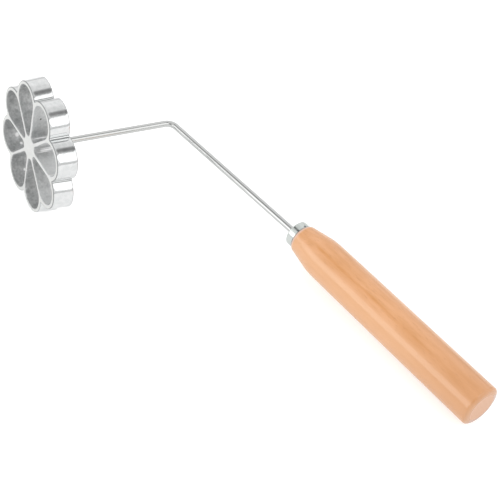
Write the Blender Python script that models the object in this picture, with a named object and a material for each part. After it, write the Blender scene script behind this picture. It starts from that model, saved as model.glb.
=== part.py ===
"""Rosette iron: a cast flower mould screwed to a bent steel rod, with a turned wooden handle.

The tool's own frame has its origin at the centre of the mould's front face. Its +Y points from that face
to the mould's back, its +X to the side where the handle is, and its +Z is square to the plane that the
bent rod lies in. The tool lies on a table on two petals and the handle's butt, and an empty tilts the
whole tool into that place.
Lengths are in metres.
"""

from math import asin, atan2, cos, pi, radians, sin, sqrt, tan

import bmesh
import bpy
from mathutils import Vector

# Clearances
FIT_GAP = 0.0003
CUT_OVERRUN = 0.002

# Cast mould: cells in a ring, with the outer wall round them and thin walls between them that run in to
# the hub. The radius is that of the front face, and the draft is how much further out the wall stands at
# the back
MOULD_RADIUS = 0.0400
MOULD_DEPTH = 0.0124
MOULD_DRAFT = 0.00095
MOULD_EDGE = 0.0004
PETAL_COUNT = 8
PETAL_WALL = 0.0023
LOBE_SETBACK = 0.00065
CUSP_FILLET_RADIUS = 0.0010
TIP_SPACING = 0.00175
HUB_SPACING = 0.00234
HUB_LAND_RADIUS = 0.00725
HUB_FRONT_WALL = 0.0030
THREAD_HOLE_CONE = 0.0010

# Bent rod
ROD_RADIUS = 0.00205
ROD_BEND_RADIUS = 0.0056
ROD_CHAMFER = 0.0005
FACE_TO_BEND = 0.0956
BEND_TO_HANDLE = 0.12171
LEG_ANGLE = radians(101.0)
TANG_LENGTH = 0.0400

# Handle: it leans a little on the rod, whose axis crosses the handle's own at the named depth
HANDLE_LEAN = radians(2.15)
LEAN_CROSSING_DEPTH = 0.01534
HANDLE_LENGTH = 0.1467
SHOULDER_STEP = 0.0003
NOSE_LENGTH = 0.0012
NOSE_DROP = 0.0005
TAPER_LENGTH = 0.0172
BODY_FRONT_RADIUS = 0.0122
BODY_BUTT_RADIUS = 0.01255
BUTT_EDGE_RADIUS = 0.0020

# Ferrule
FERRULE_LENGTH = 0.0065
FERRULE_RADIUS = 0.00805
FERRULE_SHEET = 0.0006
FERRULE_DOME = 0.0018
FERRULE_FACE_RADIUS = 0.0041
CRIMP_RADIUS = 0.0010
CRIMP_DEPTH = 0.0003
CRIMP_SETBACK = 0.0011
CRIMP_ANGLE = radians(5.0)

# Facets
LOBE_STEPS = 14
FILLET_STEPS = 3
CELL_TIP_STEPS = 18
CELL_HUB_STEPS = 8
HOLE_SIDES = 24
ROD_SIDES = 20
BEND_STEPS = 12
NOSE_STEPS = 6
EDGE_STEPS = 6
DOME_STEPS = 6
TURNED_SIDES = 64
SETTLING_STEPS = 20
SMOOTH_ANGLE = radians(32.0)

# Colours, roughness and metallic values
ALUMINIUM = ((0.80, 0.80, 0.79, 1.0), 0.38, 1.0)
STEEL = ((0.72, 0.72, 0.71, 1.0), 0.18, 1.0)
BEECH = ((0.83, 0.52, 0.30, 1.0), 0.40, 0.0)

# Sizes that follow from the ones above: each cell is as wide as the walls and the rim leave it
HALF_SECTOR = pi / PETAL_COUNT
CELL_SPAN = MOULD_RADIUS - PETAL_WALL
CELL_TIP_RADIUS = (CELL_SPAN * sin(HALF_SECTOR) - TIP_SPACING / 2) / (1 + sin(HALF_SECTOR))
CELL_TIP_CENTRE = CELL_SPAN - CELL_TIP_RADIUS
CELL_HUB_RADIUS = (HUB_LAND_RADIUS * sin(HALF_SECTOR) - HUB_SPACING / 2) / (1 - sin(HALF_SECTOR))
CELL_HUB_CENTRE = HUB_LAND_RADIUS + CELL_HUB_RADIUS
LOBE_CENTRE = CELL_TIP_CENTRE - LOBE_SETBACK
PETAL_LOBE_RADIUS = MOULD_RADIUS - LOBE_CENTRE
THREAD_HOLE_DEPTH = MOULD_DEPTH - HUB_FRONT_WALL - THREAD_HOLE_CONE
HANDLE_ANGLE = LEG_ANGLE - HANDLE_LEAN
SHOULDER_RADIUS = FERRULE_RADIUS + SHOULDER_STEP


def clear_scene():
    for item in list(bpy.data.objects):
        bpy.data.objects.remove(item, do_unlink=True)


def make_material(name, look):
    colour, roughness, metallic = look
    material = bpy.data.materials.new(name)
    material.use_nodes = True
    shader = material.node_tree.nodes["Principled BSDF"]
    shader.inputs["Base Color"].default_value = colour
    shader.inputs["Roughness"].default_value = roughness
    shader.inputs["Metallic"].default_value = metallic
    material.diffuse_color = colour
    return material


def make_empty(name, parent=None):
    empty = bpy.data.objects.new(name, None)
    bpy.context.collection.objects.link(empty)
    empty.parent = parent
    return empty


def make_object(name, shape, parent, material=None):
    """Turns a bmesh into a smooth-shaded object with its faces pointing out."""
    bmesh.ops.recalc_face_normals(shape, faces=shape.faces)
    mesh = bpy.data.meshes.new(name)
    shape.to_mesh(mesh)
    shape.free()
    mesh.shade_smooth()
    mesh.set_sharp_from_angle(angle=SMOOTH_ANGLE)
    item = bpy.data.objects.new(name, mesh)
    bpy.context.collection.objects.link(item)
    item.parent = parent
    if material:
        mesh.materials.append(material)
    else:
        item.hide_render = True
        item.display_type = "WIRE"
    return item


def cut(item, cutter):
    boolean = item.modifiers.new(cutter.name, "BOOLEAN")
    boolean.operation = "DIFFERENCE"
    boolean.solver = "EXACT"
    boolean.object = cutter


def leg_direction(angle):
    """The way a leg runs in the rod's plane, at an angle from the direction that the mould faces."""
    return Vector((sin(angle), -cos(angle), 0.0))


def arc(centre, radius, start, end, steps):
    """Points on an arc in a plane, both ends included."""
    angles = [start + (end - start) * i / steps for i in range(steps + 1)]
    return [(centre[0] + radius * cos(a), centre[1] + radius * sin(a)) for a in angles]


def turn(points, angle):
    return [(x * cos(angle) - y * sin(angle), x * sin(angle) + y * cos(angle)) for x, y in points]


def draft_share(depth):
    """How much wider than at the front the outline is at a depth, as a factor."""
    return 1 + MOULD_DRAFT / MOULD_RADIUS * depth / MOULD_DEPTH


def petal_outline(inset, depth):
    """The scalloped outline: round lobes with a small fillet in each cusp, inset and then widened."""
    lobe = PETAL_LOBE_RADIUS - inset
    fillet = CUSP_FILLET_RADIUS + inset
    side = LOBE_CENTRE * sin(HALF_SECTOR)
    cusp = LOBE_CENTRE * cos(HALF_SECTOR) + sqrt((lobe + fillet) ** 2 - side ** 2)
    fillet_centre = (cusp * cos(HALF_SECTOR), cusp * sin(HALF_SECTOR))
    lobe_end = atan2(fillet_centre[1], fillet_centre[0] - LOBE_CENTRE)
    fillet_half = lobe_end - HALF_SECTOR
    sector = arc((LOBE_CENTRE, 0.0), lobe, -lobe_end, lobe_end, LOBE_STEPS)
    back = HALF_SECTOR + pi
    sector += arc(fillet_centre, fillet, back + fillet_half, back - fillet_half, FILLET_STEPS)[1:-1]
    outline = []
    for petal in range(PETAL_COUNT):
        outline += turn(sector, HALF_SECTOR * (2 * petal + 1))
    widened = draft_share(depth)
    return [(x * widened, y * widened) for x, y in outline]


def cell_outlines(inset):
    """The petal cells, each round a large and a small circle, widened by the inset."""
    side_angle = asin((CELL_TIP_RADIUS - CELL_HUB_RADIUS) / (CELL_TIP_CENTRE - CELL_HUB_CENTRE))
    square = pi / 2 + side_angle
    cell = arc((CELL_TIP_CENTRE, 0.0), CELL_TIP_RADIUS + inset, -square, square, CELL_TIP_STEPS)
    cell += arc((CELL_HUB_CENTRE, 0.0), CELL_HUB_RADIUS + inset, square, 2 * pi - square, CELL_HUB_STEPS)
    return [turn(cell, HALF_SECTOR * (2 * petal + 1)) for petal in range(PETAL_COUNT)]


def add_loop(shape, points, depth):
    """A closed loop of edges at one depth behind the mould's front face."""
    corners = [shape.verts.new((x, depth, z)) for z, x in points]
    edges = [shape.edges.new((a, b)) for a, b in zip(corners, corners[1:] + corners[:1])]
    return corners, edges


def join_loops(shape, first, second):
    for i, corner in enumerate(first):
        after = (i + 1) % len(first)
        shape.faces.new((corner, first[after], second[after], second[i]))


def add_mould(parent, material):
    """The casting: outer wall, cells and hub in one solid, with softened edges and the rod's hole."""
    shape = bmesh.new()
    levels = [(0.0, MOULD_EDGE), (MOULD_EDGE, 0.0)]
    levels += [(MOULD_DEPTH - MOULD_EDGE, 0.0), (MOULD_DEPTH, MOULD_EDGE)]
    front_edges = []
    back_edges = []
    stacks = [[(petal_outline(inset, depth), depth) for depth, inset in levels]]
    for petal in range(PETAL_COUNT):
        stacks.append([(cell_outlines(inset)[petal], depth) for depth, inset in levels])
    for stack in stacks:
        loops = [add_loop(shape, points, depth) for points, depth in stack]
        for near, far in zip(loops, loops[1:]):
            join_loops(shape, near[0], far[0])
        front_edges += loops[0][1]
        back_edges += loops[-1][1]
    hole_radius = ROD_RADIUS + FIT_GAP
    circle = arc((0.0, 0.0), hole_radius, 0.0, 2 * pi, HOLE_SIDES)[:-1]
    mouth, mouth_edges = add_loop(shape, circle, MOULD_DEPTH)
    floor, _ = add_loop(shape, circle, MOULD_DEPTH - THREAD_HOLE_DEPTH)
    join_loops(shape, mouth, floor)
    point = shape.verts.new((0.0, MOULD_DEPTH - THREAD_HOLE_DEPTH - THREAD_HOLE_CONE, 0.0))
    for a, b in zip(floor, floor[1:] + floor[:1]):
        shape.faces.new((a, b, point))
    bmesh.ops.triangle_fill(shape, edges=front_edges, use_beauty=True, normal=(0.0, -1.0, 0.0))
    bmesh.ops.triangle_fill(shape, edges=back_edges + mouth_edges, use_beauty=True, normal=(0.0, 1.0, 0.0))
    return make_object("mould_head", shape, parent, material)


def sweep_round(stations, sides):
    """A round bar through stations of (centre, direction angle, radius), with flat ends."""
    shape = bmesh.new()
    rings = []
    for centre, angle, radius in stations:
        across = leg_direction(angle + pi / 2)
        ring = []
        for i in range(sides):
            around = 2 * pi * i / sides
            spoke = across * sin(around) + Vector((0.0, 0.0, cos(around)))
            ring.append(shape.verts.new(centre + spoke * radius))
        rings.append(ring)
    for near, far in zip(rings, rings[1:]):
        join_loops(shape, near, far)
    shape.faces.new(rings[0])
    shape.faces.new(rings[-1])
    return shape


def bend_corner():
    return Vector((0.0, FACE_TO_BEND, 0.0))


def add_rod(parent, material):
    """The rod from its threaded end in the hub, round the bend, to the end of its tang in the handle."""
    front = Vector((0.0, MOULD_DEPTH - THREAD_HOLE_DEPTH + FIT_GAP, 0.0))
    to_bend = pi
    setback = ROD_BEND_RADIUS / tan(LEG_ANGLE / 2)
    arc_centre = bend_corner() + Vector((ROD_BEND_RADIUS, -setback, 0.0))
    tip = bend_corner() + leg_direction(LEG_ANGLE) * (BEND_TO_HANDLE + TANG_LENGTH)
    stations = [(front, to_bend, ROD_RADIUS - ROD_CHAMFER)]
    stations.append((front + leg_direction(to_bend) * ROD_CHAMFER, to_bend, ROD_RADIUS))
    for i in range(BEND_STEPS + 1):
        angle = to_bend + (LEG_ANGLE - to_bend) * i / BEND_STEPS
        stations.append((arc_centre + leg_direction(angle + pi / 2) * ROD_BEND_RADIUS, angle, ROD_RADIUS))
    stations.append((tip - leg_direction(LEG_ANGLE) * ROD_CHAMFER, LEG_ANGLE, ROD_RADIUS))
    stations.append((tip, LEG_ANGLE, ROD_RADIUS - ROD_CHAMFER))
    return make_object("rod", sweep_round(stations, ROD_SIDES), parent, material)


def add_tang_cutter(parent):
    """The hole for the tang, drilled along the rod's own axis through the ferrule and into the handle."""
    direction = leg_direction(LEG_ANGLE)
    start = bend_corner() + direction * (BEND_TO_HANDLE - FERRULE_LENGTH - CUT_OVERRUN)
    end = bend_corner() + direction * (BEND_TO_HANDLE + TANG_LENGTH + FIT_GAP)
    radius = ROD_RADIUS + FIT_GAP
    stations = [(start, LEG_ANGLE, radius), (end, LEG_ANGLE, radius)]
    return make_object("tang_hole", sweep_round(stations, HOLE_SIDES), parent)


def turned(profile):
    """A turned solid about +X from a profile of (distance, radius) points, from axis to axis."""
    shape = bmesh.new()
    rings = []
    for distance, radius in profile:
        if radius == 0.0:
            rings.append([shape.verts.new((distance, 0.0, 0.0))])
            continue
        ring = []
        for i in range(TURNED_SIDES):
            around = 2 * pi * i / TURNED_SIDES
            ring.append(shape.verts.new((distance, radius * sin(around), radius * cos(around))))
        rings.append(ring)
    for near, far in zip(rings, rings[1:]):
        if len(near) == len(far):
            join_loops(shape, near, far)
            continue
        tip, ring = (near[0], far) if len(near) == 1 else (far[0], near)
        for a, b in zip(ring, ring[1:] + ring[:1]):
            shape.faces.new((a, b, tip))
    return shape


def cap_profile(inset):
    """The ferrule's flat front, round shoulder and skirt, moved in by the inset."""
    front = -FERRULE_LENGTH + inset
    rise = FERRULE_RADIUS - inset - FERRULE_FACE_RADIUS
    profile = [(front, 0.0)]
    for i in range(DOME_STEPS + 1):
        angle = pi / 2 * i / DOME_STEPS
        distance = front + (FERRULE_DOME - inset) * (1 - cos(angle))
        profile.append((distance, FERRULE_FACE_RADIUS + rise * sin(angle)))
    return profile


def handle_profile():
    """Spigot, shoulder, convex nose on a cone, slowly widening body and rounded butt edge."""
    slope = (BODY_FRONT_RADIUS - SHOULDER_RADIUS - NOSE_DROP) / TAPER_LENGTH
    spigot_inset = FERRULE_SHEET + FIT_GAP
    profile = cap_profile(spigot_inset)
    profile.append((0.0, FERRULE_RADIUS - spigot_inset))
    for i in range(NOSE_STEPS + 1):
        distance = NOSE_LENGTH * i / NOSE_STEPS
        cone = SHOULDER_RADIUS + NOSE_DROP + slope * distance
        profile.append((distance, cone - NOSE_DROP * (1 - i / NOSE_STEPS) ** 2))
    profile.append((TAPER_LENGTH, BODY_FRONT_RADIUS))
    centre = (HANDLE_LENGTH - BUTT_EDGE_RADIUS, BODY_BUTT_RADIUS - BUTT_EDGE_RADIUS)
    profile += arc(centre, BUTT_EDGE_RADIUS, pi / 2, 0.0, EDGE_STEPS)
    profile.append((HANDLE_LENGTH, 0.0))
    return profile


def add_handle(parent, material, tang_hole):
    handle = make_object("handle", turned(handle_profile()), parent, material)
    cut(handle, tang_hole)
    return handle


def ferrule_profile():
    """A pressed cap: its outside, then the same again one sheet further in, open behind."""
    outside = cap_profile(0.0)
    inside = cap_profile(FERRULE_SHEET)
    outside.append((-FIT_GAP, FERRULE_RADIUS))
    inside.append((-FIT_GAP, FERRULE_RADIUS - FERRULE_SHEET))
    return outside + inside[::-1]


def add_ferrule(parent, material, tang_hole):
    """The cap over the handle's spigot, with the rod's hole in front and a punched dimple in its skirt."""
    ferrule = make_object("ferrule", turned(ferrule_profile()), parent, material)
    cut(ferrule, tang_hole)
    shape = bmesh.new()
    bmesh.ops.create_icosphere(shape, subdivisions=2, radius=CRIMP_RADIUS)
    dimple = make_object("crimp_dimple", shape, parent)
    reach = FERRULE_RADIUS + CRIMP_RADIUS - CRIMP_DEPTH
    dimple.location = (-CRIMP_SETBACK, reach * sin(CRIMP_ANGLE), reach * cos(CRIMP_ANGLE))
    cut(ferrule, dimple)
    return ferrule


def add_handle_axis(parent):
    """An empty on the handle's axis at its shoulder, leaning on the rod where the two axes cross."""
    crossing = bend_corner() + leg_direction(LEG_ANGLE) * (BEND_TO_HANDLE + LEAN_CROSSING_DEPTH)
    axis = make_empty("handle_axis", parent)
    axis.location = crossing - leg_direction(HANDLE_ANGLE) * LEAN_CROSSING_DEPTH
    axis.rotation_euler.z = HANDLE_ANGLE - pi / 2
    return axis


def lying_tilt(handle_axis):
    """The tilt at which the handle's butt comes down to the table that two petals' back edges stand on."""
    back = MOULD_DEPTH - MOULD_EDGE
    petal_reach = (LOBE_CENTRE * cos(HALF_SECTOR) + PETAL_LOBE_RADIUS) * draft_share(back)
    direction = leg_direction(HANDLE_ANGLE)
    butt = handle_axis.location + direction * (HANDLE_LENGTH - BUTT_EDGE_RADIUS)
    lever = butt.y - back
    tilt = 0.0
    for _ in range(SETTLING_STEPS):
        ring = (BODY_BUTT_RADIUS - BUTT_EDGE_RADIUS) * sqrt(1 - (sin(tilt) * direction.y) ** 2)
        tilt = asin((petal_reach * cos(tilt) - ring - BUTT_EDGE_RADIUS) / lever)
    return tilt


def centre_on_table(root, items):
    """Moves the tool so that it stands on z = 0 with the origin under the middle of its bounding box."""
    bpy.context.view_layer.update()
    graph = bpy.context.evaluated_depsgraph_get()
    corners = []
    for item in items:
        evaluated = item.evaluated_get(graph)
        corners += [evaluated.matrix_world @ corner.co for corner in evaluated.data.vertices]
    low = [min(corner[i] for corner in corners) for i in range(3)]
    high = [max(corner[i] for corner in corners) for i in range(3)]
    root.location = (-(low[0] + high[0]) / 2, -(low[1] + high[1]) / 2, -low[2])


def main():
    clear_scene()
    root = make_empty("rosette_iron")
    handle_axis = add_handle_axis(root)
    root.rotation_euler.x = -lying_tilt(handle_axis)
    tang_hole = add_tang_cutter(root)
    items = [
        add_mould(root, make_material("mould_head", ALUMINIUM)),
        add_rod(root, make_material("rod", STEEL)),
        add_ferrule(handle_axis, make_material("ferrule", STEEL), tang_hole),
        add_handle(handle_axis, make_material("handle", BEECH), tang_hole),
    ]
    centre_on_table(root, items)


main()
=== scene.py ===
"""The looks of a rosette iron: a cast flower mould on a bent steel rod, with a turned beech handle. Metres, +Z up."""

import bmesh
import bpy
import numpy as np
from mathutils import Matrix


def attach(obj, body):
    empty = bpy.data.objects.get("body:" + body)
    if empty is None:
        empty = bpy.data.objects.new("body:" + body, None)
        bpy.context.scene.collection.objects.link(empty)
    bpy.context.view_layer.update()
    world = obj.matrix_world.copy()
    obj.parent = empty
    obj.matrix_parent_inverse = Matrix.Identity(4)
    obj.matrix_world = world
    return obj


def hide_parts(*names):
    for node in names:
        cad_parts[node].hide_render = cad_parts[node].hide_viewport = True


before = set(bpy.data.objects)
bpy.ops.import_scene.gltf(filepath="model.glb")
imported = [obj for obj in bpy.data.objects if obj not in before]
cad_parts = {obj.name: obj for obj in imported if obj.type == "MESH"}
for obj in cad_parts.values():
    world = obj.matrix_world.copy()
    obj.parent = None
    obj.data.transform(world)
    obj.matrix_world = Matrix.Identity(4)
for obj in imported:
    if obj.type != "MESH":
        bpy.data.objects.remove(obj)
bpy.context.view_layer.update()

# ======================================================================================================================
# The flower mould. One piece of aluminium, cast with its eight open cells, then ground flat on its faces and polished
# round its outer wall; the cell walls keep the grey skin of the casting. It screws onto the end of the rod.
# ======================================================================================================================
TILT = np.radians(11.340572)
HUB_FRONT = np.array([-0.113586, -0.071963, 0.040399])
SECTOR = np.pi / 8
MOULD_RADIUS, MOULD_DEPTH, MOULD_DRAFT = 0.0400, 0.0124, 0.00095
FACE_EDGE = 0.0004
LOBE_RADIUS, LOBE_CENTRE = 0.01271, 0.02725
CLEFT_FILLET = 0.0010
CELL_TIP_RADIUS, CELL_TIP_CENTRE = 0.0098, 0.0279
CELL_ROOT_RADIUS, CELL_ROOT_CENTRE = 0.0026, 0.00985
BORE_RADIUS, BORE_DEPTH, BORE_CONE = 0.00235, 0.0084, 0.0010
LOBE_STEPS, CLEFT_STEPS, SIDE_STEPS, ROOT_STEPS = 72, 6, 14, 12


def linear(colour):
    """An sRGB hex colour as linear RGBA: each channel over 12.92 near black, else ((c + 0.055) / 1.055) to 2.4."""
    c = np.array([int(colour[i:i + 2], 16) / 255 for i in (1, 3, 5)])
    return (*np.where(c <= 0.04045, c / 12.92, ((c + 0.055) / 1.055) ** 2.4), 1.0)


def new_material(name):
    material = bpy.data.materials.new(name)
    material.use_nodes = True
    return material, material.node_tree, material.node_tree.nodes["Principled BSDF"]


def add_node(tree, kind, settings, inputs):
    """Adds a node with its settings; an input that is given another node's socket is linked, any other is set."""
    node = tree.nodes.new(kind)
    for name, value in settings.items():
        setattr(node, name, value)
    for name, value in inputs.items():
        if isinstance(value, bpy.types.NodeSocket):
            tree.links.new(value, node.inputs[name])
        else:
            node.inputs[name].default_value = value
    return node


def from_tool(x, y, z):
    """Tool frame to the object's: y runs back from the mould's face; all turns by the tilt about x, then moves."""
    x, y, z = np.broadcast_arrays(x, y, z)
    turned = (x, y * np.cos(TILT) + z * np.sin(TILT), z * np.cos(TILT) - y * np.sin(TILT))
    return np.stack(turned, -1) + HUB_FRONT


def make_piece(name, surfaces, materials, sharp):
    """One closed mesh from grids of points (rows, columns, 3), each with its material's index, or one for each column.
    A grid closes on itself across its columns; equal points of all grids are merged, which also closes a row that is
    a single point."""
    points, quads, looks, start = [], [], [], 0
    for grid, look in surfaces:
        rows, columns = grid.shape[:2]
        near = start + columns * np.arange(rows - 1)[:, None] + np.arange(columns)
        far = start + columns * np.arange(rows - 1)[:, None] + (np.arange(columns) + 1) % columns
        quads.append(np.stack([near, far, far + columns, near + columns], -1).reshape(-1, 4))
        looks.append(np.broadcast_to(look, (rows - 1, columns)).ravel())
        points.append(grid.reshape(-1, 3))
        start += rows * columns
    mesh = bpy.data.meshes.new(name)
    mesh.from_pydata(np.concatenate(points).tolist(), [], np.concatenate(quads).tolist())
    mesh.polygons.foreach_set("material_index", np.concatenate(looks).astype(np.int32))
    shape = bmesh.new()
    shape.from_mesh(mesh)
    bmesh.ops.remove_doubles(shape, verts=shape.verts, dist=2e-6)
    bmesh.ops.dissolve_degenerate(shape, edges=shape.edges, dist=1e-7)
    bmesh.ops.recalc_face_normals(shape, faces=shape.faces)
    shape.to_mesh(mesh)
    shape.free()
    mesh.shade_smooth()
    mesh.set_sharp_from_angle(angle=np.radians(sharp))
    piece = bpy.data.objects.new(name, mesh)
    bpy.context.collection.objects.link(piece)
    for material in materials:
        mesh.materials.append(material)
    return piece


def arc(centre, radius, start, end, count):
    """Points on an arc as complex numbers: the centre plus the radius turned by evenly spaced angles."""
    return centre + radius * np.exp(1j * np.linspace(start, end, count))


def petal_rim(inset, depth):
    """A petal's outer edge, real along the petal: the lobe's arc about its centre, between two half arcs of the
    fillets that touch it and the next lobes. The inset makes the lobe's radius smaller and the fillets' larger, and
    the casting's draft widens it all in proportion to the depth."""
    lobe, fillet = LOBE_RADIUS - inset, CLEFT_FILLET + inset
    reach = LOBE_CENTRE * np.cos(SECTOR) + np.sqrt((lobe + fillet) ** 2 - (LOBE_CENTRE * np.sin(SECTOR)) ** 2)
    fillet_centre = reach * np.exp(1j * SECTOR)
    end = np.angle(fillet_centre - LOBE_CENTRE)
    cleft = arc(fillet_centre, fillet, end + np.pi, SECTOR + np.pi, CLEFT_STEPS + 1)
    rim = np.concatenate([cleft[::-1].conj(), arc(LOBE_CENTRE, lobe, -end, end, LOBE_STEPS + 1)[1:-1], cleft])
    return rim * (1 + MOULD_DRAFT / MOULD_RADIUS * depth / MOULD_DEPTH)


def sector_edge(inset, depth):
    """The closed edge of one eighth of a face: out from the bore to the rim, along the rim, back in, round the bore."""
    rim = petal_rim(inset, depth)
    bore = arc(0, BORE_RADIUS, SECTOR, -SECTOR, ROOT_STEPS + 1)
    out, back = np.linspace(bore[-1], rim[0], SIDE_STEPS + 1), np.linspace(rim[-1], bore[0], SIDE_STEPS + 1)
    return np.concatenate([out, rim[1:-1], back, bore[1:-1]])


def cell_edge(inset):
    """A cell's closed edge, point for point with the sector's: two arcs, wide and narrow, and the lines on both."""
    square = np.pi / 2 + np.arcsin((CELL_TIP_RADIUS - CELL_ROOT_RADIUS) / (CELL_TIP_CENTRE - CELL_ROOT_CENTRE))
    tip = arc(CELL_TIP_CENTRE, CELL_TIP_RADIUS + inset, -square, square, LOBE_STEPS + 2 * CLEFT_STEPS + 1)
    root = arc(CELL_ROOT_CENTRE, CELL_ROOT_RADIUS + inset, square, 2 * np.pi - square, ROOT_STEPS + 1)
    out, back = np.linspace(root[-1], tip[0], SIDE_STEPS + 1), np.linspace(tip[-1], root[0], SIDE_STEPS + 1)
    return np.concatenate([out, tip[1:-1], back, root[1:-1]])


def round_petals(rows, depths):
    """Rows of complex points of one petal, turned onto all eight in order, as points in the object's frame."""
    petals = rows[None] * np.exp(1j * SECTOR * (2 * np.arange(8) + 1))[:, None, None]
    return from_tool(petals.imag, depths[None, :, None], petals.real)


# Edge rounding as (inset, depth) pairs: a quarter circle from the face to the wall
quarter = np.linspace(0, np.pi / 2, 5)
edge_inset, edge_depth = FACE_EDGE * (1 - np.sin(quarter)), FACE_EDGE * (1 - np.cos(quarter))
wall_depths = np.linspace(FACE_EDGE, MOULD_DEPTH - FACE_EDGE, 9)
insets = np.concatenate([edge_inset, np.zeros(7), edge_inset[::-1]])
depths = np.concatenate([edge_depth, wall_depths[1:-1], MOULD_DEPTH - edge_depth[::-1]])

land_shares = np.array([0, 0.08, 0.5, 0.92, 1])[:, None]
front_land, back_land = [(1 - land_shares) * sector_edge(FACE_EDGE, depth) + land_shares * cell_edge(FACE_EDGE)
                         for depth in (0.0, MOULD_DEPTH)]
cell = np.stack([cell_edge(inset) for inset in insets])
outer = np.stack([petal_rim(inset, depth)[:-1] for inset, depth in zip(insets, depths)])
flat = np.zeros(5)
front_lands = round_petals(front_land, flat)
back_lands = round_petals(back_land, flat + MOULD_DEPTH)
cell_walls = round_petals(cell, depths)
outer_wall = round_petals(outer, depths).transpose(1, 0, 2, 3).reshape(len(depths), -1, 3)
# The wheel leaves the corners of the clefts as they were cast, in the dark grey that is partly painted shade: three
# facets on each side of every lobe
wall_looks = np.full(outer.shape[1], 2)
wall_looks[CLEFT_STEPS // 2:CLEFT_STEPS] = wall_looks[-CLEFT_STEPS:-CLEFT_STEPS // 2] = 3
wall_looks = np.tile(wall_looks, 8)
round_bore = arc(0, BORE_RADIUS, -SECTOR, 2 * np.pi - SECTOR, 8 * ROOT_STEPS + 1)[:-1]
hub_rings = round_bore * np.array([1, 0.66, 0.33, 0])[:, None]
hub_front = from_tool(hub_rings.imag, 0.0, hub_rings.real)
bore_rings = round_bore * np.array([1, 1, 0])[:, None]
bore_depths = MOULD_DEPTH - np.array([0, BORE_DEPTH, BORE_DEPTH + BORE_CONE])[:, None]
bore = from_tool(bore_rings.imag, bore_depths, bore_rings.real)


# Ground aluminium: flat sanding leaves a pale, even grey with a broad sheen and fine scratches one way, drawn as an
# even fine grain.
ground_aluminium, tree, shader = new_material("ground_aluminium")
place = add_node(tree, "ShaderNodeTexCoord", {}, {}).outputs["Object"]
sanding = add_node(tree, "ShaderNodeTexNoise", {}, {"Vector": place, "Scale": 900.0, "Detail": 3.0})
patches = add_node(tree, "ShaderNodeTexNoise", {}, {"Vector": place, "Scale": 260.0, "Detail": 4.0})
tone = add_node(tree, "ShaderNodeMix", {"data_type": "RGBA"},
                {0: patches.outputs["Fac"], 6: linear("#D9DAD8"), 7: linear("#E8E9E7")})
bump = add_node(tree, "ShaderNodeBump", {}, {"Height": sanding.outputs["Fac"], "Strength": 0.35, "Distance": 0.00006})
tree.links.new(tone.outputs[2], shader.inputs["Base Color"])
tree.links.new(bump.outputs["Normal"], shader.inputs["Normal"])
shader.inputs["Metallic"].default_value = 1.0
shader.inputs["Roughness"].default_value = 0.42

# Cast aluminium: the skin of the mould's cavity, dull mid-grey, cloudy and slightly pitted.
cast_aluminium, tree, shader = new_material("cast_aluminium")
place = add_node(tree, "ShaderNodeTexCoord", {}, {}).outputs["Object"]
clouds = add_node(tree, "ShaderNodeTexNoise", {}, {"Vector": place, "Scale": 230.0, "Detail": 5.0, "Roughness": 0.6})
skin = add_node(tree, "ShaderNodeTexNoise", {}, {"Vector": place, "Scale": 700.0, "Detail": 4.0})
mottle = add_node(tree, "ShaderNodeMath", {"operation": "ADD"}, {0: clouds.outputs["Fac"], 1: skin.outputs["Fac"]})
cloud_share = add_node(tree, "ShaderNodeMapRange", {}, {"Value": mottle.outputs[0], "From Min": 0.72, "From Max": 1.28})
tone = add_node(tree, "ShaderNodeMix", {"data_type": "RGBA"},
                {0: cloud_share.outputs["Result"], 6: linear("#A9ABAB"), 7: linear("#D4D5D5")})
# The cells are painted paler towards one side, as painted light: they grow paler from 3 to 15 mm to that side, half as
# fast upwards
painted_light_way = (1.0, 0.0, 0.55)
sideways = add_node(tree, "ShaderNodeVectorMath", {"operation": "DOT_PRODUCT"}, {0: place, 1: painted_light_way})
painted_light_share = add_node(tree, "ShaderNodeMapRange", {}, {"Value": sideways.outputs["Value"], "To Max": 0.62,
                                                        "From Min": HUB_FRONT @ painted_light_way + 0.003,
                                                        "From Max": HUB_FRONT @ painted_light_way + 0.015})
tone = add_node(tree, "ShaderNodeMix", {"data_type": "RGBA"},
                {0: painted_light_share.outputs["Result"], 6: tone.outputs[2], 7: linear("#F2F3F3")})
# One dark pit in the skin, then painted glints and painted highlights: bright places, and bright streaks along the
# depth. Each has a place in the tool's frame, a radius, and how much longer it is along the depth
for spot, radius, stretch, colour in (((0.00106, 0.00492, 0.02048), 0.0005, 1, "#4C4E4E"),
                                      ((-0.03320, 0.0082, -0.0169), 0.0013, 1, "#FFFFFF"),
                                      ((-0.02840, 0.0093, -0.0201), 0.0009, 1, "#FFFFFF"),
                                      ((-0.01785, 0.0083, -0.0324), 0.0008, 1, "#FFFFFF"),
                                      ((0.0071, 0.0080, 0.0022), 0.0004, 10, "#FFFFFF"),
                                      ((0.0078, 0.0060, 0.0017), 0.0003, 14, "#FFFFFF"),
                                      ((0.0066, 0.0088, 0.0031), 0.0003, 12, "#F6F7F7"),
                                      ((0.0019, 0.0060, 0.0074), 0.0003, 14, "#FFFFFF"),
                                      ((0.0284, 0.0018, 0.0013), 0.0003, 8, "#FFFFFF")):
    spot_axes = {"Location": tuple(from_tool(*spot)), "Rotation": (-TILT, 0.0, 0.0), "Scale": (1.0, stretch, 1.0)}
    off_spot = add_node(tree, "ShaderNodeMapping", {"vector_type": "TEXTURE"}, {"Vector": place} | spot_axes)
    to_spot = add_node(tree, "ShaderNodeVectorMath", {"operation": "LENGTH"}, {0: off_spot.outputs[0]})
    share = add_node(tree, "ShaderNodeMapRange", {}, {"Value": to_spot.outputs["Value"], "From Min": 0.6 * radius,
                                                      "From Max": 1.4 * radius, "To Min": 1.0, "To Max": 0.0})
    tone = add_node(tree, "ShaderNodeMix", {"data_type": "RGBA"},
                    {0: share.outputs["Result"], 6: tone.outputs[2], 7: linear(colour)})
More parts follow.
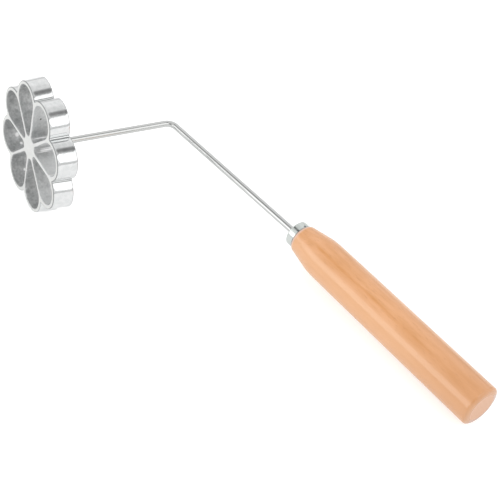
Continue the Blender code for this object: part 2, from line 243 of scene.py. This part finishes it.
gloss = add_node(tree, "ShaderNodeMapRange", {}, {"Value": clouds.outputs["Fac"], "From Min": 0.3, "From Max": 0.7,
                                                  "To Min": 0.68, "To Max": 0.60})
bump = add_node(tree, "ShaderNodeBump", {}, {"Height": skin.outputs["Fac"], "Strength": 0.3, "Distance": 0.0002})
tree.links.new(tone.outputs[2], shader.inputs["Base Color"])
tree.links.new(gloss.outputs["Result"], shader.inputs["Roughness"])
tree.links.new(bump.outputs["Normal"], shader.inputs["Normal"])
shader.inputs["Metallic"].default_value = 1.0

# Dull aluminium: the rounded edges and the clefts' corners, which neither the grinding nor the buffing wheel reaches,
# keep a dark grey, as a fine line round each petal; this grey is partly their cast skin and partly painted shade. Below
# the hub the edge is painted paler, as painted light.
dull_and_shaded_aluminium, tree, shader = new_material("dull_and_shaded_aluminium")
place = add_node(tree, "ShaderNodeTexCoord", {}, {}).outputs["Object"]
upward = add_node(tree, "ShaderNodeSeparateXYZ", {}, {"Vector": place}).outputs["Z"]
edge_shade_mottle = add_node(tree, "ShaderNodeTexNoise", {}, {"Vector": place, "Scale": 500.0, "Detail": 3.0})
# Painted light: below the hub the edge's grey is mixed towards a paler grey
above_painted_light = add_node(tree, "ShaderNodeMapRange", {}, {"Value": upward, "From Min": HUB_FRONT[2] - 0.030,
                                                    "From Max": HUB_FRONT[2] - 0.010})
# Partly painted shade: the dark grey of the unpolished edges and cleft corners, with a random mottle
tone = add_node(tree, "ShaderNodeMix", {"data_type": "RGBA"},
                {0: edge_shade_mottle.outputs["Fac"], 6: linear("#868888"), 7: linear("#AEB0B0")})
painted_light_below = add_node(tree, "ShaderNodeMix", {"data_type": "RGBA"},
                 {0: above_painted_light.outputs["Result"], 6: linear("#CED0D0"), 7: tone.outputs[2]})
tree.links.new(painted_light_below.outputs[2], shader.inputs["Base Color"])
shader.inputs["Metallic"].default_value = 1.0
shader.inputs["Roughness"].default_value = 0.55

# Polished aluminium: buffed round the outer wall, so that it mirrors the room in crisp bands with slightly wavy edges,
# a little smeared with oil.
polished_aluminium, tree, shader = new_material("polished_aluminium")
place = add_node(tree, "ShaderNodeTexCoord", {}, {}).outputs["Object"]
waves = add_node(tree, "ShaderNodeTexNoise", {}, {"Vector": place, "Scale": 320.0, "Detail": 3.0})
haze = add_node(tree, "ShaderNodeMapRange", {}, {"Value": waves.outputs["Fac"], "From Min": 0.3, "From Max": 0.7,
                                                 "To Min": 0.08, "To Max": 0.18})
bump = add_node(tree, "ShaderNodeBump", {}, {"Height": waves.outputs["Fac"], "Strength": 0.15, "Distance": 0.0001})
smears = add_node(tree, "ShaderNodeTexNoise", {}, {"Vector": place, "Scale": 380.0, "Detail": 3.0})
smear_share = add_node(tree, "ShaderNodeMapRange", {}, {"Value": smears.outputs["Fac"], "From Min": 0.35, "From Max": 0.65})
tone = add_node(tree, "ShaderNodeMix", {"data_type": "RGBA"},
                {0: smear_share.outputs["Result"], 6: linear("#DDDFDF"), 7: linear("#E6E7E7")})
tree.links.new(tone.outputs[2], shader.inputs["Base Color"])
tree.links.new(haze.outputs["Result"], shader.inputs["Roughness"])
tree.links.new(bump.outputs["Normal"], shader.inputs["Normal"])
shader.inputs["Metallic"].default_value = 1.0

mould = make_piece(
    "flower_mould",
    [(grid, 0) for grid in front_lands] + [(grid, 0) for grid in back_lands] + [(grid, 1) for grid in cell_walls]
    + [(outer_wall[:5], 3), (outer_wall[4:-4], wall_looks), (outer_wall[-5:], 3), (hub_front, 0), (bore, 1)],
    [ground_aluminium, cast_aluminium, polished_aluminium, dull_and_shaded_aluminium], 50)
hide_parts("mould_head")
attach(mould, "mould")

# ======================================================================================================================
# The rod. Round steel wire, cut to length, threaded at the mould's end and bent cold to an obtuse angle; polished and
# nickel plated. Its plain end is driven into the handle.
# ======================================================================================================================
ROD_RADIUS = 0.00205
ROD_CHAMFER = 0.0005
ROD_START = 0.0043
THREAD_LENGTH, THREAD_PITCH, THREAD_CUT = 0.0082, 0.0007, 0.00038
FACE_TO_BEND, BEND_TO_HANDLE, TANG_LENGTH = 0.0956, 0.12171, 0.0400
BEND_RADIUS = 0.0056
LEG_ANGLE = np.radians(101.0)
ROD_SIDES = 64

# The centreline in the rod's plane, as x + iy: back from the mould, an arc that touches both legs, then the long leg.
# A leg at an angle from the mould's facing direction, -y, points along -i turned by that angle.
leg = -1j * np.exp(1j * LEG_ANGLE)
corner = 1j * FACE_TO_BEND
setback = BEND_RADIUS / np.tan(LEG_ANGLE / 2)
bend_angles = np.linspace(np.pi, LEG_ANGLE, 33)
bend = corner + BEND_RADIUS - 1j * setback + BEND_RADIUS * np.exp(1j * bend_angles)
tip = corner + leg * (BEND_TO_HANDLE + TANG_LENGTH)
lead = 1j * np.concatenate([[ROD_START, ROD_START], ROD_START + ROD_CHAMFER + np.linspace(0, THREAD_LENGTH, 118),
                            np.linspace(0.0145, FACE_TO_BEND - setback - 0.002, 24)])
tail = np.linspace(bend[-1] + 0.002 * leg, tip - ROD_CHAMFER * leg, 30)
line = np.concatenate([lead, bend, tail, [tip, tip]])
angles = np.concatenate([np.full(len(lead), np.pi), bend_angles, np.full(len(tail) + 2, LEG_ANGLE)])
radii = np.full(len(line), ROD_RADIUS)
radii[[0, -1]] = 0.0
radii[[1, -2]] = ROD_RADIUS - ROD_CHAMFER
around = np.linspace(0, 2 * np.pi, ROD_SIDES, endpoint=False)

# The thread: the surface is let in by a V whose place along the rod advances one pitch a turn, and fades out at the end
travel = (line.imag - ROD_START)[:, None] / THREAD_PITCH - around / (2 * np.pi)
fade = np.clip((ROD_START + ROD_CHAMFER + THREAD_LENGTH - line.imag) / THREAD_PITCH, 0, 1) * (line.real == 0)
fade[[0, 1]] = 0.0
groove = np.abs(travel % 1 - 0.5) * 2 * THREAD_CUT * fade[:, None]
reach = radii[:, None] - groove
across = np.exp(1j * (angles + np.pi / 2)) * -1j
spot = line[:, None] + across[:, None] * np.sin(around) * reach
rod_surface = from_tool(spot.real, spot.imag, np.cos(around) * reach)

# Polished steel: drawn and buffed wire under bright nickel, a near mirror with faint draw lines along it.
polished_steel, tree, shader = new_material("polished_nickel_plated_steel")
place = add_node(tree, "ShaderNodeTexCoord", {}, {}).outputs["Object"]
drawing = add_node(tree, "ShaderNodeTexNoise", {}, {"Vector": place, "Scale": 180.0, "Detail": 2.0})
haze = add_node(tree, "ShaderNodeMapRange", {}, {"Value": drawing.outputs["Fac"], "From Min": 0.3, "From Max": 0.7,
                                                 "To Min": 0.06, "To Max": 0.13})
tree.links.new(haze.outputs["Result"], shader.inputs["Roughness"])
shader.inputs["Base Color"].default_value = linear("#CDCECD")
shader.inputs["Metallic"].default_value = 1.0

rod = make_piece("bent_rod", [(rod_surface, 0)], [polished_steel], 50)
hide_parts("rod")
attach(rod, "tool")

# ======================================================================================================================
# The ferrule. A cap pressed from thin steel sheet and nickel plated, pushed over the handle's spigot and held by a
# punched dimple; the rod passes through the hole in its front.
# ======================================================================================================================
HANDLE_LEAN = np.radians(2.15)
LEAN_CROSSING = 0.01534
FERRULE_LENGTH, FERRULE_RADIUS, FERRULE_SHEET = 0.0065, 0.00805, 0.0006
FERRULE_DOME, FERRULE_FACE_RADIUS = 0.0018, 0.0041
FERRULE_HOLE = ROD_RADIUS + 0.0001
FIT_GAP = 0.0003
DIMPLE_RADIUS, DIMPLE_DEPTH, DIMPLE_SETBACK, DIMPLE_ANGLE = 0.0010, 0.0003, 0.0011, np.radians(5.0)

handle_turn = LEG_ANGLE - HANDLE_LEAN - np.pi / 2
crossing = corner + leg * (BEND_TO_HANDLE + LEAN_CROSSING)
shoulder = crossing - LEAN_CROSSING * np.exp(1j * handle_turn)


def from_handle(along, across, up):
    """Handle frame to the object's: along its axis from the shoulder, across in the rod's plane, and up from it."""
    spot = shoulder + (along + 1j * across) * np.exp(1j * handle_turn)
    return from_tool(spot.real, spot.imag, up)


def turned_rings(profile, sides):
    """Rings about the handle's axis from rows of (distance along, radius, shift across): radius times sine and cosine
    of the turn, plus the shift, which leads rings at a hole over to the leaning rod's axis. Returns all three grids."""
    along, radius, shift = np.array(profile).T[:, :, None]
    turn = np.linspace(0, 2 * np.pi, sides, endpoint=False)
    return along + 0 * turn, radius * np.sin(turn) + shift, radius * np.cos(turn)


def rod_shift(along):
    """How far the rod's axis lies to the side of the handle's at a distance behind the shoulder."""
    return (along - LEAN_CROSSING) * np.tan(HANDLE_LEAN)


def cap_rows(inset, steps):
    """The cap's round shoulder, a quarter ellipse from the flat front to the skirt, moved in by the inset."""
    angle = np.linspace(0, np.pi / 2, steps)
    front = -FERRULE_LENGTH + inset
    along = front + (FERRULE_DOME - inset) * (1 - np.cos(angle))
    radius = FERRULE_FACE_RADIUS + (FERRULE_RADIUS - inset - FERRULE_FACE_RADIUS) * np.sin(angle)
    return [(a, r, 0.0) for a, r in zip(along, radius)]


hole_front, hole_back = -FERRULE_LENGTH, -FERRULE_LENGTH + FERRULE_SHEET
skirt = [(a, FERRULE_RADIUS, 0.0) for a in np.linspace(-FERRULE_LENGTH + FERRULE_DOME, -FIT_GAP - 0.0001, 24)[1:]]
inside = cap_rows(FERRULE_SHEET, 10)
profile = [(hole_front + 0.0001, FERRULE_HOLE, rod_shift(hole_front)),
           (hole_front, FERRULE_HOLE + 0.0001, rod_shift(hole_front)),
           (hole_front, FERRULE_FACE_RADIUS - 0.0005, 0.0)]
profile += cap_rows(0.0, 16) + skirt + [(-FIT_GAP, FERRULE_RADIUS - 0.0001, 0.0)]
profile += [(-FIT_GAP, FERRULE_RADIUS - FERRULE_SHEET, 0.0)] + inside[::-1]
profile += [(hole_back, FERRULE_HOLE, rod_shift(hole_back)), (hole_front + 0.0001, FERRULE_HOLE, rod_shift(hole_front))]
along, across, up = turned_rings(profile, 192)

# The dimple: where the skirt lies inside a ball that sits that deep in it, it is pushed in to the ball's underside
turn = np.arctan2(across, up) - DIMPLE_ANGLE
distance = np.hypot(along + DIMPLE_SETBACK, FERRULE_RADIUS * np.angle(np.exp(1j * turn)))
depth = np.sqrt(np.clip(DIMPLE_RADIUS ** 2 - distance ** 2, 0, None)) - (DIMPLE_RADIUS - DIMPLE_DEPTH)
on_skirt = np.isclose(np.hypot(across, up), FERRULE_RADIUS)
pushed = 1 - np.where(on_skirt, np.clip(depth, 0, None), 0) / FERRULE_RADIUS
cap_surface = from_handle(along, across * pushed, up * pushed)

# Nickel-plated sheet: as bright as the rod, a little softer, with a faint cool tint. The punched dimple is a darker
# grey in its middle, and the cut edge of the skirt, at the wood, is painted darker as painted shade in the joint.
plated_sheet, tree, shader = new_material("nickel_plated_sheet")
place = add_node(tree, "ShaderNodeTexCoord", {}, {}).outputs["Object"]
stain = add_node(tree, "ShaderNodeTexNoise", {}, {"Vector": place, "Scale": 420.0, "Detail": 3.0})
haze = add_node(tree, "ShaderNodeMapRange", {}, {"Value": stain.outputs["Fac"], "From Min": 0.3, "From Max": 0.7,
                                                 "To Min": 0.13, "To Max": 0.25})
dimple_place = from_handle(-DIMPLE_SETBACK, FERRULE_RADIUS * np.sin(DIMPLE_ANGLE), FERRULE_RADIUS * np.cos(DIMPLE_ANGLE))
to_dimple = add_node(tree, "ShaderNodeVectorMath", {"operation": "DISTANCE"}, {0: place, 1: tuple(dimple_place)})
# The dimple's middle is mixed towards a darker grey
off_dimple_share = add_node(tree, "ShaderNodeMapRange", {}, {"Value": to_dimple.outputs["Value"], "From Min": 0.0006, "From Max": 0.0009})
tone = add_node(tree, "ShaderNodeMix", {"data_type": "RGBA"},
                {0: off_dimple_share.outputs["Result"], 6: linear("#7A7E7F"), 7: linear("#D2D7D4")})
handle_axes = {"Location": tuple(from_handle(0.0, 0.0, 0.0)),
               "Rotation": (Matrix.Rotation(-TILT, 3, "X") @ Matrix.Rotation(handle_turn, 3, "Z")).to_euler()}
axis = add_node(tree, "ShaderNodeMapping", {"vector_type": "TEXTURE"}, {"Vector": place} | handle_axes)
along = add_node(tree, "ShaderNodeSeparateXYZ", {}, {"Vector": axis.outputs[0]}).outputs["X"]
# Painted shade in the joint: the last half millimetre of the skirt, at the wood, is darkened
joint_shade_share = add_node(tree, "ShaderNodeMapRange", {}, {"Value": along, "From Min": -0.0010, "From Max": -0.0005})
joint_shaded_tone = add_node(tree, "ShaderNodeMix", {"data_type": "RGBA"},
                   {0: joint_shade_share.outputs["Result"], 6: tone.outputs[2], 7: linear("#ACAFAF")})
tree.links.new(joint_shaded_tone.outputs[2], shader.inputs["Base Color"])
tree.links.new(haze.outputs["Result"], shader.inputs["Roughness"])
shader.inputs["Metallic"].default_value = 1.0

ferrule = make_piece("ferrule_cap", [(cap_surface, 0)], [plated_sheet], 40)
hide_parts("ferrule")
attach(ferrule, "tool")

# ======================================================================================================================
# The handle. Beech, turned on a lathe with a spigot for the ferrule, a convex nose and a rounded butt, sanded and
# dipped in clear lacquer. It is drilled down its length for the rod's tang.
# ======================================================================================================================
HANDLE_LENGTH = 0.14665
SHOULDER_RADIUS = 0.00835
NOSE_LENGTH, NOSE_DROP, TAPER_LENGTH = 0.0012, 0.0005, 0.0172
FRONT_RADIUS, BUTT_RADIUS, BUTT_EDGE, BUTT_CROWN = 0.0122, 0.01253, 0.0020, 0.0040
TAPER_BLEND = 0.0006
TANG_HOLE = ROD_RADIUS + FIT_GAP

hole_end, spigot_front = TANG_LENGTH + FIT_GAP, -FERRULE_LENGTH + FERRULE_SHEET + FIT_GAP
profile = [(hole_end, 0.0, rod_shift(hole_end)), (hole_end, TANG_HOLE, rod_shift(hole_end)),
           (spigot_front, TANG_HOLE, rod_shift(spigot_front))]
profile += cap_rows(FERRULE_SHEET + FIT_GAP, 8) + [(0.0, FERRULE_RADIUS - FERRULE_SHEET - FIT_GAP, 0.0)]
nose = np.linspace(0, 1, 13)
slope = (FRONT_RADIUS - SHOULDER_RADIUS - NOSE_DROP) / TAPER_LENGTH
nose_radii = SHOULDER_RADIUS + NOSE_DROP + slope * NOSE_LENGTH * nose - NOSE_DROP * (1 - nose) ** 2
profile += [(a, r, 0.0) for a, r in zip(NOSE_LENGTH * nose, nose_radii)]
# The body is the lower of the cone and the barrel, with the sharp change between them sanded round
body = np.linspace(NOSE_LENGTH, HANDLE_LENGTH - BUTT_EDGE, 90)[1:]
butt_share = (body - TAPER_LENGTH) / (HANDLE_LENGTH - BUTT_EDGE - TAPER_LENGTH)
cone, barrel = SHOULDER_RADIUS + NOSE_DROP + slope * body, FRONT_RADIUS + (BUTT_RADIUS - FRONT_RADIUS) * butt_share
body_radii = (cone + barrel - np.sqrt((cone - barrel) ** 2 + TAPER_BLEND ** 2)) / 2
profile += [(a, r, 0.0) for a, r in zip(body, body_radii)]
edge = np.linspace(0, np.pi / 2, 17)[1:]
profile += [(HANDLE_LENGTH - BUTT_EDGE + BUTT_EDGE * s, BUTT_RADIUS - BUTT_CROWN * (1 - c), 0.0)
            for s, c in zip(np.sin(edge), np.cos(edge))]
side_rows = len(profile)
profile += [(HANDLE_LENGTH, (BUTT_RADIUS - BUTT_CROWN) * share, 0.0) for share in (0.97, 0.6, 0.3, 0.0)]
wood = from_handle(*turned_rings(profile, 160))

# Lacquered beech: straight-grained, orange tan with soft lengthwise bands of growth and short darker flecks, under a
# clear coat that gives one long soft highlight. One side of the stick is painted paler and pinker, as painted light;
# the thin lip at the ferrule is painted pale pink, as a painted highlight; and the end towards the butt is painted a
# little darker, as painted shade.
beech, tree, shader = new_material("lacquered_beech")
place = add_node(tree, "ShaderNodeTexCoord", {}, {}).outputs["Object"]
axis = add_node(tree, "ShaderNodeMapping", {"vector_type": "TEXTURE"}, {"Vector": place} | handle_axes)
along_grain = add_node(tree, "ShaderNodeMapping", {}, {"Vector": axis.outputs[0], "Scale": (45.0, 300.0, 300.0)})
bands = add_node(tree, "ShaderNodeTexNoise", {}, {"Vector": along_grain.outputs[0], "Scale": 1.0, "Detail": 3.0})
short_grain = add_node(tree, "ShaderNodeMapping", {}, {"Vector": axis.outputs[0], "Scale": (240.0, 1500.0, 1500.0)})
flecks = add_node(tree, "ShaderNodeTexNoise", {}, {"Vector": short_grain.outputs[0], "Scale": 1.0, "Detail": 2.0})
band_share = add_node(tree, "ShaderNodeMapRange", {}, {"Value": bands.outputs["Fac"], "From Min": 0.3, "From Max": 0.7})
fleck_share = add_node(tree, "ShaderNodeMapRange", {}, {"Value": flecks.outputs["Fac"], "From Min": 0.58, "From Max": 0.75,
                                                        "To Max": 0.5})
along = add_node(tree, "ShaderNodeSeparateXYZ", {}, {"Vector": axis.outputs[0]}).outputs["X"]
# Painted light: the side of the stick along (0, -0.72, -0.69) in the handle's frame is mixed paler and pinker
down = add_node(tree, "ShaderNodeVectorMath", {"operation": "DOT_PRODUCT"}, {0: axis.outputs[0], 1: (0.0, -0.72, -0.69)})
lit_side_share = add_node(tree, "ShaderNodeMapRange", {"interpolation_type": "SMOOTHSTEP"},
                         {"Value": down.outputs["Value"], "From Min": 0.0, "From Max": 0.004, "To Max": 0.7})
# Painted shade: the stick grows a little darker towards the butt
butt_shade_share = add_node(tree, "ShaderNodeMapRange", {"interpolation_type": "SMOOTHSTEP"},
                      {"Value": along, "From Min": 0.07, "From Max": 0.15, "To Max": 0.6})
# Painted highlight: a pale pink band on the thin lip at the ferrule
lip_highlight_share = add_node(tree, "ShaderNodeMapRange", {}, {"Value": along, "From Min": 0.0021, "From Max": 0.0009, "To Max": 0.75})
# On the far side the butt's rounded edge is painted a greyish pink, as painted shade: the mask is a plane tilted a
# little from square to the axis
far_side_tilt = add_node(tree, "ShaderNodeVectorMath", {"operation": "DOT_PRODUCT"}, {0: axis.outputs[0], 1: (1.0, 0.116, -0.121)})
far_edge_shade_share = add_node(tree, "ShaderNodeMapRange", {}, {"Value": far_side_tilt.outputs["Value"], "From Min": HANDLE_LENGTH,
                                                       "From Max": HANDLE_LENGTH + 0.0003})
tone = add_node(tree, "ShaderNodeMix", {"data_type": "RGBA"},
                {0: band_share.outputs["Result"], 6: linear("#E39E5C"), 7: linear("#F4B37D")})
for share, colour in ((fleck_share, "#CC8850"), (lit_side_share, "#F8BD8A"), (butt_shade_share, "#DD9C66"), (lip_highlight_share, "#EFC8B4"),
                      (far_edge_shade_share, "#DFB49C")):
    tone = add_node(tree, "ShaderNodeMix", {"data_type": "RGBA"},
                    {0: share.outputs["Result"], 6: tone.outputs[2], 7: linear(colour)})
tree.links.new(tone.outputs[2], shader.inputs["Base Color"])
shader.inputs["Roughness"].default_value = 0.5
shader.inputs["IOR"].default_value = 1.5
shader.inputs["Specular IOR Level"].default_value = 0.25
shader.inputs["Coat Weight"].default_value = 1.0
shader.inputs["Coat IOR"].default_value = 1.7
shader.inputs["Coat Roughness"].default_value = 0.16

# Lacquered end grain: the pores are cut across, so that the butt is paler and pinker and drinks the lacquer dull.
end_grain, tree, shader = new_material("lacquered_beech_end_grain")
place = add_node(tree, "ShaderNodeTexCoord", {}, {}).outputs["Object"]
pores = add_node(tree, "ShaderNodeTexNoise", {}, {"Vector": place, "Scale": 900.0, "Detail": 2.0})
tone = add_node(tree, "ShaderNodeMix", {"data_type": "RGBA"},
                {0: pores.outputs["Fac"], 6: linear("#EDB996"), 7: linear("#F9CBAB")})
tree.links.new(tone.outputs[2], shader.inputs["Base Color"])
shader.inputs["Roughness"].default_value = 0.6
shader.inputs["Coat Weight"].default_value = 0.4
shader.inputs["Coat Roughness"].default_value = 0.4

handle = make_piece("turned_handle", [(wood[:side_rows], 0), (wood[side_rows - 1:], 1)], [beech, end_grain], 40)
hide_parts("handle")
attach(handle, "tool")

# ======================================================================================================================
# The studio. A white table in a soft white room that is a little dimmer at its ceiling and along its foot, with a few
# dark places that the metal mirrors, and two large soft lamps, on the right and on the left.
# ======================================================================================================================
table = bpy.data.objects.new("table", bpy.data.meshes.new("table"))
table.data.from_pydata([(-3, -3, 0), (3, -3, 0), (3, 3, 0), (-3, 3, 0)], [], [(0, 1, 2, 3)])
bpy.context.collection.objects.link(table)
white_table, tree, shader = new_material("white_table")
rays = add_node(tree, "ShaderNodeLightPath", {}, {})
mirrored = add_node(tree, "ShaderNodeMath", {"operation": "MAXIMUM"},
                    {0: rays.outputs["Is Glossy Ray"], 1: rays.outputs["Is Transmission Ray"]})
mirror_glow = add_node(tree, "ShaderNodeMath", {"operation": "MULTIPLY"}, {0: mirrored.outputs[0], 1: 0.33})
glow = add_node(tree, "ShaderNodeMath", {"operation": "MULTIPLY_ADD"},
                {0: rays.outputs["Is Camera Ray"], 1: 0.55, 2: mirror_glow.outputs[0]})
tree.links.new(glow.outputs[0], shader.inputs["Emission Strength"])
shader.inputs["Emission Color"].default_value = (1, 1, 1, 1)
shader.inputs["Base Color"].default_value = (0.8, 0.8, 0.8, 1)
shader.inputs["Roughness"].default_value = 0.9
shader.inputs["Specular IOR Level"].default_value = 0.0
table.data.materials.append(white_table)

room = bpy.data.worlds.new("room")
bpy.context.scene.world = room
room.use_nodes = True
tree = room.node_tree
direction = add_node(tree, "ShaderNodeTexCoord", {}, {}).outputs["Generated"]
height = add_node(tree, "ShaderNodeSeparateXYZ", {}, {"Vector": direction}).outputs["Z"]
ceiling = add_node(tree, "ShaderNodeMapRange", {"interpolation_type": "SMOOTHSTEP"},
                   {"Value": height, "From Min": 0.70, "From Max": 0.85, "To Min": 1.0, "To Max": 0.85})
skirting = add_node(tree, "ShaderNodeMapRange", {"interpolation_type": "SMOOTHSTEP"},
                    {"Value": height, "From Min": 0.05, "From Max": 0.30, "To Min": 0.7, "To Max": 1.0})
brightness = add_node(tree, "ShaderNodeMath", {"operation": "MULTIPLY"},
                      {0: ceiling.outputs["Result"], 1: skirting.outputs["Result"]})
# Dark places, by azimuth and elevation: above and behind the right lamp, the open front, and above the left lamp
for azimuth, elevation, whole, edge, least in ((67, 56, 1, 16, 0.26), (38, 32, 12, 30, 0.45), (-31, 44, 12, 26, 0.35),
                                               (-153, 61, 3, 10, 0.0)):
    a, e = np.radians([azimuth, elevation])
    towards = (np.cos(a) * np.cos(e), np.sin(a) * np.cos(e), np.sin(e))
    nearness = add_node(tree, "ShaderNodeVectorMath", {"operation": "DOT_PRODUCT"}, {0: direction, 1: towards})
    dark = add_node(tree, "ShaderNodeMapRange", {"interpolation_type": "SMOOTHSTEP"},
                    {"Value": nearness.outputs["Value"], "From Min": np.cos(np.radians(edge)),
                     "From Max": np.cos(np.radians(whole)), "To Min": 1.0, "To Max": least})
    brightness = add_node(tree, "ShaderNodeMath", {"operation": "MULTIPLY"}, {0: brightness.outputs[0], 1: dark.outputs["Result"]})
# The camera itself sees plain white past the table's edge
rays = add_node(tree, "ShaderNodeLightPath", {}, {})
seen = add_node(tree, "ShaderNodeMath", {"operation": "MAXIMUM"}, {0: rays.outputs["Is Camera Ray"], 1: brightness.outputs[0]})
tree.links.new(seen.outputs[0], tree.nodes["Background"].inputs["Color"])


def soft_lamp(name, azimuth, elevation, distance, width, height, radiance):
    """A rectangular lamp aimed at the middle of the object. Its power is radiance times pi times its area."""
    a, e = np.radians(azimuth), np.radians(elevation)
    away = np.array([np.cos(a) * np.cos(e), np.sin(a) * np.cos(e), np.sin(e)])
    light = bpy.data.lights.new(name, "AREA")
    light.shape, light.size, light.size_y = "RECTANGLE", width, height
    light.energy = radiance * np.pi * width * height
    lamp = bpy.data.objects.new(name, light)
    bpy.context.collection.objects.link(lamp)
    side = np.array([-np.sin(a), np.cos(a), 0.0])
    placed = np.eye(4)
    placed[:3] = np.stack([side, np.cross(away, side), away, away * distance + [0.0, 0.0, 0.03]], 1)
    lamp.matrix_world = Matrix(placed)
    lamp.visible_camera = False
    return lamp


soft_lamp("lamp_right", 38, 33, 1.50, 1.26, 1.12, 0.95)
soft_lamp("lamp_left", -107, 22, 1.50, 1.74, 0.80, 1.0)

camera = bpy.data.objects.new("camera", bpy.data.cameras.new("camera"))
bpy.context.collection.objects.link(camera)
camera.data.sensor_width = 36.0
camera.data.lens = 93.6
camera.data.clip_start, camera.data.clip_end = 0.02, 20.0
camera.matrix_world = Matrix(((0.495236, -0.646705, 0.580099, 0.431435), (0.868027, 0.340947, -0.360949, -0.254890),
                              (0.035645, 0.682296, 0.730206, 0.560346), (0, 0, 0, 1)))
bpy.context.scene.camera = camera
bpy.context.scene.view_settings.view_transform = "Standard"
